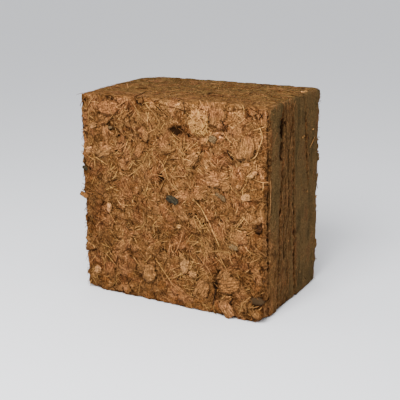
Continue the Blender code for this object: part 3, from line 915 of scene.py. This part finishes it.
def strand_path(rng, length, steps, wander, rise):
    """Points along one loose strand that lies in XY and lifts a little in its middle."""
    heading, bend = 0.0, rng.uniform(-wander, wander)
    path = [Vector((0.0, 0.0, 0.0))]
    for i in range(steps):
        bend += rng.uniform(-0.5, 0.5) * wander
        heading += bend / steps
        path.append(path[-1] + Vector((math.cos(heading), math.sin(heading), 0.0)) * length / steps)
    middle = path[len(path) // 2]
    return [
        p - middle + Vector((0.0, 0.0, rise * math.sin(math.pi * i / steps)))
        for i, p in enumerate(path)
    ]


def tube(path, radius, name, flat=1.0):
    """A three-sided tube along the path, closed at both ends and thinner towards them."""
    points, along, run = [], [], 0.0
    count = len(path)
    for i, at in enumerate(path):
        ahead = (path[min(i + 1, count - 1)] - path[max(i - 1, 0)]).normalized()
        side = ahead.cross(Vector((0.0, 0.0, 1.0))).normalized()
        over = side.cross(ahead)
        run += (at - path[i - 1]).length if i else 0.0
        thick = radius * (0.45 + 0.55 * math.sin(math.pi * min(1.0, (i + 0.6) / count)))
        for corner in range(3):
            angle = math.tau * corner / 3.0
            points.append(at + thick * (math.cos(angle) * side + flat * math.sin(angle) * over))
            along.append((MILLIMETRES * run, corner / 3.0))
    faces = []
    for i in range(count - 1):
        for corner in range(3):
            a, b = 3 * i + corner, 3 * i + (corner + 1) % 3
            faces.append((a, b, b + 3, a + 3))
    faces += [(2, 1, 0), (3 * count - 3, 3 * count - 2, 3 * count - 1)]
    mesh = bpy.data.meshes.new(name)
    mesh.from_pydata(points, [], faces)
    mesh.shade_smooth()
    return with_grain(mesh, along)


def loose_strand(rng, name):
    """One long curling hair."""
    path = strand_path(rng, rng.uniform(*STRAND_LENGTH), steps=8, wander=0.7, rise=0.0010)
    return tube(path, STRAND_THICK * rng.uniform(0.8, 1.3), name)


def sliver(rng, name):
    """A flat bundle of hairs, nearly straight and frayed to a point at both ends."""
    path = strand_path(rng, rng.uniform(*BUNDLE_LENGTH), steps=3, wander=0.45, rise=0.0004)
    return tube(path, BUNDLE_THICK * rng.uniform(0.5, 1.25), name, flat=0.4)


def hair(rng, name):
    """A short bent hair, pressed flat."""
    path = strand_path(rng, rng.uniform(*HAIR_LENGTH), steps=4, wander=1.3, rise=0.0001)
    return tube(path, STRAND_THICK * rng.uniform(0.8, 1.4), name, flat=0.7)


def coir_fibre():
    """Fibre: straw to red brown along its tone."""
    material, tree, shader = new_finish("coir_fibre", roughness=0.80, specular=0.05)
    place = add(tree, "ShaderNodeTexCoord").outputs["Object"]
    colour = ramp(
        tree, attribute(tree, "tone"), (0.00, UMBER), (0.15, BROWN), (0.40, RUST), (0.62, TAN),
        (0.80, PALE_TAN), (0.92, STRAW), (1.00, PALEST_STRAW))
    flecks = grain(tree, place, 0.0020, detail=2.0)
    colour = shaded(tree, colour, flecks, 0.55, 1.45, spread=0.18)
    colour = drifting(tree, place, colour)
    # Painted shade, with some darker coir: fibre in the darker zones is darkened too.
    colour = blend(tree, attribute(tree, "dark"), colour, SHADE_AND_DARK_KEEPS, "MULTIPLY")
    tree.links.new(colour, shader.inputs["Base Color"])
    return material


strand_shapes = variants("loose_strand", STRAND_SHAPES, 41, loose_strand)
sliver_shapes = variants("sliver", STRAND_SHAPES, 42, sliver)
hair_shapes = variants("hair", STRAND_SHAPES, 43, hair)
fibre_finish = coir_fibre()
for side, seed, most in (("front", 51, 110000.0), ("back", 52, 70000.0)):
    pressed_in(
        f"fibre_bundles_{side}", sliver_shapes, fibre_finish, f"on_{side}", seed,
        spacing=0.0014, density=most, tilt=math.radians(6), smallest=0.4, largest=1.3,
        favour_small=1.2, deepest=-0.0001, highest=0.0012, tone_low=0.0, tone_high=1.0,
        combed=1.0, spin=math.radians(50))
    pressed_in(
        f"loose_strands_{side}", strand_shapes, fibre_finish, f"strands_{side}", seed + 20,
        spacing=0.0070, density=8500.0, tilt=math.radians(5), smallest=0.5, largest=1.2,
        favour_small=1.2, deepest=0.0008, highest=0.0022, tone_low=0.50, tone_high=1.0,
        combed=1.0, spin=math.radians(70))
pressed_in(
    "fibre_mat_top", sliver_shapes, fibre_finish, "on_top", 55,
    spacing=0.0017, density=60000.0, tilt=math.radians(3), smallest=0.4, largest=1.1, favour_small=1.2,
    deepest=-0.0004, highest=0.0004, tone_low=0.0, tone_high=0.90, combed=1.0, spin=math.radians(60))
pressed_in(
    "hairs_mould_sides", hair_shapes, fibre_finish, "on_sides", 53,
    spacing=0.0045, density=9000.0, tilt=math.radians(2), smallest=0.3, largest=1.1, favour_small=1.2,
    deepest=-0.0001, highest=0.0001, tone_low=0.0, tone_high=0.70, combed=1.0, spin=math.radians(60))
pressed_in(
    "fibre_crack_lips", sliver_shapes, fibre_finish, "on_fringe", 54,
    spacing=0.0018, density=60000.0, tilt=math.radians(4), smallest=0.3, largest=0.95, favour_small=1.3,
    deepest=-0.0002, highest=0.0006, tone_low=0.0, tone_high=0.80, combed=1.0, spin=math.radians(12))

# The chips and strands that catch the eye. Most are husk like the rest, but some are scraps of the
# nut's hard shell, weathered grey husk or a bleached tuft. They were pressed in with the rest.
FACING = {  # a side's two directions and the way it faces
    "front": ((1.0, 0.0, 0.0), (0.0, 0.0, 1.0), (0.0, -1.0, 0.0)),
    "right": ((0.0, 1.0, 0.0), (0.0, 0.0, 1.0), (1.0, 0.0, 0.0)),
    "top": ((1.0, 0.0, 0.0), (0.0, 1.0, 0.0), (0.0, 0.0, 1.0)),
}
FAR = 0.6  # the rays that look for the surface of a side start this far out
SIDE_LEVEL = {"front": BLOCK.y / 2.0, "right": BLOCK.x / 2.0, "top": BLOCK.z}  # where a ray finds nothing
FIBRE_COVER = {"front": 0.0014, "right": 0.0, "top": 0.0}  # how far loose fibre stands out over the chips
STRAND_LIFT = 0.0011
STRAND_STEP = 0.004
# side, place on it, length, width, turn in degrees, tone from dark to pale, lift
HUSK_PIECES = (
    ("front", (0.097, 0.047), 0.038, 0.030, 15, 0.50, 0.0010),
    ("front", (0.096, 0.012), 0.034, 0.022, -50, 0.66, 0.0016),
    ("front", (0.121, 0.244), 0.042, 0.031, 80, 0.62, 0.0008),
    ("front", (0.078, 0.281), 0.034, 0.029, 80, 0.60, 0.0006),
    ("front", (0.054, 0.032), 0.034, 0.029, 60, 0.58, 0.0004),
    ("front", (0.110, 0.118), 0.034, 0.027, 20, 0.64, 0.0004),
    ("front", (0.093, 0.062), 0.017, 0.013, 60, 0.66, 0.0008),
    ("front", (0.070, 0.194), 0.030, 0.020, 10, 0.66, 0.0008),
    ("front", (0.129, 0.209), 0.022, 0.009, 35, 0.94, 0.0010),
    ("front", (0.119, 0.176), 0.019, 0.012, 20, 0.90, 0.0010),
    ("front", (0.086, 0.190), 0.028, 0.018, -15, 0.60, 0.0006),
    ("front", (0.026, 0.063), 0.028, 0.020, 75, 0.86, 0.0008),
    ("front", (0.040, 0.053), 0.016, 0.012, 0, 0.80, 0.0008),
    ("front", (0.017, 0.121), 0.009, 0.008, 0, 0.93, 0.0026),
    ("front", (-0.033, 0.043), 0.034, 0.026, 80, 0.62, 0.0006),
    ("front", (-0.064, 0.050), 0.022, 0.018, 85, 0.24, 0.0004),
    ("front", (-0.102, 0.132), 0.018, 0.011, 80, 0.92, 0.0010),
    ("front", (0.136, 0.133), 0.015, 0.013, 20, 0.02, -0.0008),
    ("front", (-0.125, 0.032), 0.018, 0.013, 50, 0.90, 0.0010),
    ("front", (-0.125, 0.253), 0.015, 0.010, 20, 0.86, 0.0006),
    ("front", (-0.135, 0.215), 0.017, 0.013, 35, 0.90, 0.0008),
    ("front", (-0.148, 0.145), 0.017, 0.010, 160, 0.52, 0.0004),
    ("front", (-0.144, 0.077), 0.012, 0.009, 150, 0.60, 0.0000),
    ("top", (0.068, 0.076), 0.022, 0.009, 0, 0.03, -0.0012),
    ("top", (0.142, 0.046), 0.014, 0.006, 75, 1.00, -0.0002),
    ("right", (0.065, 0.244), 0.004, 0.003, 0, 0.97, 0.0006),
    ("right", (0.032, 0.240), 0.004, 0.003, 0, 0.95, 0.0006),
    ("right", (0.026, 0.239), 0.003, 0.003, 0, 0.95, 0.0006),
    ("right", (0.049, 0.154), 0.004, 0.003, 0, 0.92, 0.0006),
    ("right", (0.086, 0.137), 0.005, 0.003, 70, 0.90, 0.0006),
)
SHELL_PIECES = (
    ("front", (0.008, 0.159), 0.022, 0.013, -22, 0.5, 0.0014),
    ("front", (-0.145, 0.187), 0.006, 0.012, 70, 0.5, 0.0006),
)
GREY_PIECES = (
    ("front", (0.083, 0.173), 0.021, 0.008, -28, 0.4, 0.0012),
    ("front", (0.103, 0.104), 0.017, 0.010, -10, 0.7, 0.0008),
    ("front", (0.138, 0.030), 0.026, 0.014, 6, -0.3, -0.0016),
    ("front", (0.072, 0.252), 0.012, 0.014, 60, 0.5, 0.0004),
    ("front", (-0.097, 0.252), 0.008, 0.005, 0, 0.5, 0.0008),
    ("top", (-0.062, 0.001), 0.016, 0.009, 20, 0.3, -0.0008),
    ("right", (0.0885, 0.170), 0.007, 0.008, 0, 0.6, 0.0010),
)
BLEACHED_PIECES = (
    ("front", (0.047, 0.284), 0.013, 0.010, 60, 0.7, 0.0006),
    ("front", (0.058, 0.278), 0.010, 0.009, -40, 0.4, 0.0008),
    ("front", (0.043, 0.272), 0.008, 0.006, 100, 0.6, 0.0006),
    ("front", (0.054, 0.268), 0.009, 0.007, 20, 0.6, 0.0008),
    ("front", (0.044, 0.261), 0.007, 0.006, 45, 0.3, 0.0006),
    ("front", (0.056, 0.259), 0.008, 0.006, 130, 0.5, 0.0006),
)
# side, its ends, how far it bows, radius, tone
LONG_STRANDS = (
    ("front", (0.041, 0.167), (0.083, 0.096), 0.004, 0.00096, 1.00),
    ("front", (-0.024, 0.066), (0.018, 0.026), -0.003, 0.00066, 0.93),
    ("front", (-0.014, 0.213), (0.001, 0.186), 0.001, 0.00072, 0.95),
    ("front", (-0.115, 0.060), (-0.092, 0.041), 0.001, 0.00066, 0.93),
    ("front", (-0.108, 0.064), (-0.098, 0.055), 0.000, 0.00060, 0.88),
    ("front", (0.138, 0.273), (0.137, 0.242), 0.004, 0.00120, 0.90),
    ("front", (0.137, 0.242), (0.124, 0.228), 0.003, 0.00108, 0.90),
    ("front", (0.038, 0.083), (0.056, 0.089), 0.003, 0.00060, 0.92),
    ("front", (0.057, 0.087), (0.051, 0.065), 0.004, 0.00060, 0.92),
    ("front", (0.076, 0.086), (0.087, 0.073), 0.001, 0.00066, 0.90),
    ("front", (0.062, 0.286), (0.051, 0.303), 0.001, 0.00060, 0.88),
    ("front", (0.068, 0.288), (0.062, 0.303), 0.001, 0.00060, 0.85),
    ("front", (0.074, 0.290), (0.072, 0.302), 0.000, 0.00060, 0.80),
    ("front", (0.070, 0.093), (0.099, 0.096), 0.001, 0.00066, 0.92),
    ("front", (0.099, 0.096), (0.103, 0.080), -0.001, 0.00066, 0.92),
    ("front", (0.005, 0.075), (0.022, 0.112), -0.003, 0.00060, 0.85),
    ("front", (0.052, 0.080), (0.070, 0.052), 0.002, 0.00060, 0.88),
    ("front", (0.078, 0.098), (0.098, 0.062), 0.000, 0.00060, 0.90),
    ("front", (0.046, 0.262), (0.062, 0.294), -0.003, 0.00066, 0.90),
    ("front", (0.052, 0.258), (0.071, 0.290), -0.002, 0.00060, 0.85),
    ("front", (0.035, 0.196), (0.030, 0.170), 0.002, 0.00060, 0.85),
    ("front", (-0.060, 0.292), (-0.040, 0.262), 0.002, 0.00066, 0.85),
    ("front", (-0.036, 0.288), (-0.010, 0.262), 0.003, 0.00066, 0.85),
    ("front", (0.120, 0.026), (0.131, 0.037), 0.001, 0.00066, 0.88),
    ("front", (0.127, 0.021), (0.143, 0.026), -0.001, 0.00060, 0.84),
    ("right", (0.055, 0.219), (0.072, 0.231), 0.000, 0.00066, 0.88),
    ("right", (-0.038, 0.262), (-0.036, 0.282), 0.001, 0.00102, 0.62),
    ("right", (-0.078, 0.200), (-0.077, 0.150), 0.002, 0.00078, 0.80),
)
DARK_SLIVERS = (
    ("front", (-0.062, 0.300), (-0.053, 0.295), 0.001, 0.00090),
    ("front", (-0.051, 0.293), (-0.040, 0.288), -0.001, 0.00100),
    ("front", (-0.018, 0.289), (-0.010, 0.283), 0.001, 0.00095),
    ("front", (0.027, 0.299), (0.027, 0.282), 0.001, 0.00085),
    ("front", (0.085, 0.279), (0.093, 0.270), -0.001, 0.00080),
    ("front", (0.094, 0.240), (0.103, 0.227), -0.002, 0.00100),
    ("front", (0.136, 0.283), (0.143, 0.292), 0.000, 0.00085),
    ("front", (0.073, 0.052), (0.073, 0.014), 0.002, 0.00110),
    ("front", (0.100, 0.017), (0.105, 0.030), 0.002, 0.00095),
    ("front", (0.045, 0.083), (0.055, 0.075), 0.001, 0.00090),
    ("front", (0.018, 0.058), (0.019, 0.051), 0.000, 0.00120),
    ("front", (-0.145, 0.245), (-0.137, 0.232), 0.001, 0.00090),
    ("front", (-0.075, 0.107), (-0.062, 0.103), -0.002, 0.00080),
)
# side, place, half sizes, strands, tone from and to, way they lie in degrees and how far it varies
TUFTS = (
    ("front", (0.049, 0.272), (0.014, 0.017), 150, 0.88, 1.0, 90, 80),
    ("front", (0.075, 0.286), (0.015, 0.010), 90, 0.45, 0.80, 95, 35),
    ("front", (0.052, 0.182), (0.030, 0.024), 110, 0.55, 0.92, -55, 30),
    ("front", (0.078, 0.112), (0.032, 0.026), 110, 0.55, 0.95, -50, 35),
)
TUFT_REACH = (0.002, 0.006)  # half the length of a strand of a tuft
TUFT_BOW = 0.002
TUFT_THICK = (0.0003, 0.0006)
TUFT_LIFT = 0.0016

sheet_points, sheet_faces = [], []
for name in ("pressed_coir", "broad_chips_front", "husk_chips_front"):
    laid = bpy.data.objects[name].data
    first = len(sheet_points)
    sheet_points += [vertex.co.copy() for vertex in laid.vertices]
    sheet_faces += [[first + i for i in face.vertices] for face in laid.polygons]
covered = BVHTree.FromPolygons(sheet_points, sheet_faces)


def side_turn(side):
    """Turns what lies in XY so that it lies in this side of the bale."""
    return Matrix(FACING[side]).transposed()


def level_at(side, across, along):
    """How far out the chips and fibre stand at this place of a side."""
    turn = side_turn(side)
    hit = covered.ray_cast(turn @ Vector((across, along, FAR)), turn @ Vector((0.0, 0.0, -1.0)))[0]
    return (turn.transposed() @ hit).z if hit else SIDE_LEVEL[side]


def gather(name, finish, shapes):
    """One piece of many small meshes: each comes with its place and the tone of its finish."""
    points, faces, along, tones = [], [], [], []
    for mesh, place, tone in shapes:
        first = len(points)
        points += [place @ vertex.co for vertex in mesh.vertices]
        faces += [[first + i for i in face.vertices] for face in mesh.polygons]
        along += [value for corner in mesh.uv_layers["grain"].data for value in corner.uv]
        tones += [tone] * len(mesh.vertices)
        bpy.data.meshes.remove(mesh)
    joined = bpy.data.meshes.new(name)
    joined.from_pydata(points, [], faces)
    joined.uv_layers.new(name="grain").data.foreach_set("uv", along)
    joined.attributes.new("tone", "FLOAT", "POINT").data.foreach_set("value", tones)
    joined.materials.append(finish)
    joined.shade_smooth()
    above_floor(joined)
    piece = bpy.data.objects.new(name, joined)
    bpy.context.scene.collection.objects.link(piece)
    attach(piece, "root")


def chips_at(rows, seed):
    """A chip for each row, cut to its size and laid on the surface at its place and turn."""
    rng = random.Random(seed)
    for side, (across, along), length, width, degrees, tone, lift in rows:
        mesh = broad_chip(rng, "chip")
        reach = [max(abs(vertex.co[i]) for vertex in mesh.vertices) for i in (0, 1)]
        size = Matrix.Diagonal((length / 2.0 / reach[0], width / 2.0 / reach[1], 1.0, 1.0))
        near = [level_at(side, across + dx * length / 3.0, along + dy * length / 3.0)
                for dx, dy in ((0, 0), (1, 0), (-1, 0), (0, 1), (0, -1))]
        level = sorted(near)[3] + lift + FIBRE_COVER[side]
        place = side_turn(side).to_4x4() @ Matrix.Translation((across, along, level))
        yield mesh, place @ Matrix.Rotation(math.radians(degrees), 4, "Z") @ size, tone


def laid_strand(side, start, end, bow, radius, flat_share=1.0):
    """A strand bent sideways by its bow, lying on whatever is highest beneath it."""
    start, end = Vector(start), Vector(end)
    steps = max(4, round((end - start).length / STRAND_STEP))
    sideways = (end - start).orthogonal().normalized()
    flat = [
        start.lerp(end, i / steps) + sideways * bow * math.sin(math.pi * i / steps)
        for i in range(steps + 1)
    ]
    levels = [level_at(side, *spot) for spot in flat]
    held = [max(levels[max(0, i - 1):i + 2]) for i in range(steps + 1)]
    eased = [sum(held[max(0, i - 1):i + 2]) / len(held[max(0, i - 1):i + 2]) for i in range(steps + 1)]
    path = [Vector((*spot, level + FIBRE_COVER[side] + STRAND_LIFT)) for spot, level in zip(flat, eased)]
    return tube(path, radius, "strand", flat_share)


def tuft_strands(seed):
    """Short strands that lie thickly together, one tuft after another."""
    rng = random.Random(seed)
    for side, (across, along), halves, count, low, high, degrees, spread in TUFTS:
        for _ in range(count):
            angle, far = rng.uniform(0.0, math.tau), math.sqrt(rng.random())
            middle = Vector((
                across + halves[0] * far * math.cos(angle), along + halves[1] * far * math.sin(angle)))
            way = math.radians(degrees + rng.uniform(-spread, spread))
            reach = Vector((math.cos(way), math.sin(way))) * rng.uniform(*TUFT_REACH)
            bow = rng.uniform(-TUFT_BOW, TUFT_BOW)
            mesh = laid_strand(side, middle - reach, middle + reach, bow, rng.uniform(*TUFT_THICK))
            place = side_turn(side).to_4x4() @ Matrix.Translation((0.0, 0.0, rng.uniform(0.0, TUFT_LIFT)))
            yield mesh, place, rng.uniform(low, high)


def mottled(name, dark, light, size, roughness, specular):
    """A scrap of one kind, such as shell: two colours that run into each other along its grain.

    The size of the spots is in millimetres."""
    material, tree, shader = new_finish(name, roughness, specular)
    along = add(tree, "ShaderNodeUVMap", uv_map="grain").outputs["UV"]
    spots = grain(tree, along, size, detail=4.0, stretch=(3.0, 1.0, 1.0), distortion=0.4)
    paler = math_node(tree, "SUBTRACT", attribute(tree, "tone"), 0.5)
    lit = math_node(tree, "ADD", spots, math_node(tree, "MULTIPLY", paler, 0.3))
    tree.links.new(ramp(tree, lit, (0.38, dark), (0.62, light)), shader.inputs["Base Color"])
    bumped(tree, shader, spots, distance=0.0006, strength=0.6)
    return material


nut_shell = mottled(
    "nut_shell", (0.009, 0.007, 0.0035), (0.042, 0.033, 0.0170), size=1.5, roughness=0.7, specular=0.08)
grey_husk = mottled(
    "grey_husk", (0.042, 0.024, 0.0110), (0.160, 0.098, 0.0430), size=1.0, roughness=0.9, specular=0.05)
bleached_husk = mottled(
    "bleached_husk", (0.210, 0.098, 0.0250), (0.470, 0.250, 0.0720), size=1.2, roughness=0.9, specular=0.05)
husk_skin = mottled(
    "husk_skin", (0.006, 0.003, 0.0014), (0.030, 0.014, 0.0060), size=2.0, roughness=0.9, specular=0.05)
gather("husk_pieces", chip_finish, chips_at(HUSK_PIECES, 71))
gather("shell_scraps", nut_shell, chips_at(SHELL_PIECES, 72))
gather("grey_husk", grey_husk, chips_at(GREY_PIECES, 73))
gather("bleached_chips", bleached_husk, chips_at(BLEACHED_PIECES, 74))
gather("long_strands", fibre_finish, (
    (laid_strand(side, start, end, bow, radius), side_turn(side).to_4x4(), tone)
    for side, start, end, bow, radius, tone in LONG_STRANDS))
gather("tufts", fibre_finish, tuft_strands(75))
gather("dark_slivers", husk_skin, (
    (laid_strand(side, start, end, bow, radius, flat_share=0.3), side_turn(side).to_4x4(), 0.5)
    for side, start, end, bow, radius in DARK_SLIVERS))

# The floor is a plain pale sheet, and the studio light is soft: one wide lamp in front of the rough
# face and above it, and an even white room.
FLOOR_SIZE = 80.0
FLOOR_DROP = 0.0003  # so far below the rest face that the two don't share a plane
FLOOR_COLOUR = (0.86, 0.87, 0.90, 1.0)
LAMP_AZIMUTH = math.radians(8)
LAMP_ELEVATION = math.radians(44)
LAMP_DISTANCE = 1.4
LAMP_WIDTH = 0.8
LAMP_POWER = 40.0
ROOM_LIGHT = 1.0
ROOM_COLOUR = (0.97, 0.98, 1.0, 1.0)

floor_mesh = bpy.data.meshes.new("floor")
reach = FLOOR_SIZE / 2.0
floor_mesh.from_pydata(
    [(-reach, -reach, 0.0), (reach, -reach, 0.0), (reach, reach, 0.0), (-reach, reach, 0.0)],
    [], [(0, 1, 2, 3)])
floor = bpy.data.objects.new("floor", floor_mesh)
floor.location.z = -FLOOR_DROP
bpy.context.scene.collection.objects.link(floor)
floor_finish, _, floor_shader = new_finish("pale_floor", roughness=0.9, specular=0.5)
floor_shader.inputs["Base Color"].default_value = FLOOR_COLOUR
floor_mesh.materials.append(floor_finish)

lamp = bpy.data.lights.new("wide_lamp", "AREA")
lamp.shape = "DISK"
lamp.size = LAMP_WIDTH
lamp.energy = LAMP_POWER
lamp_object = bpy.data.objects.new("wide_lamp", lamp)
towards = Vector((
    math.sin(LAMP_AZIMUTH) * math.cos(LAMP_ELEVATION),
    -math.cos(LAMP_AZIMUTH) * math.cos(LAMP_ELEVATION),
    math.sin(LAMP_ELEVATION),
))
lamp_object.location = Vector((0.0, 0.0, BLOCK.z / 2.0)) + towards * LAMP_DISTANCE
lamp_object.rotation_euler = towards.to_track_quat("Z", "Y").to_euler()
bpy.context.scene.collection.objects.link(lamp_object)

room = bpy.data.worlds.new("room")
room.use_nodes = True
walls = room.node_tree.nodes["Background"].inputs
walls["Color"].default_value = ROOM_COLOUR
walls["Strength"].default_value = ROOM_LIGHT
bpy.context.scene.world = room
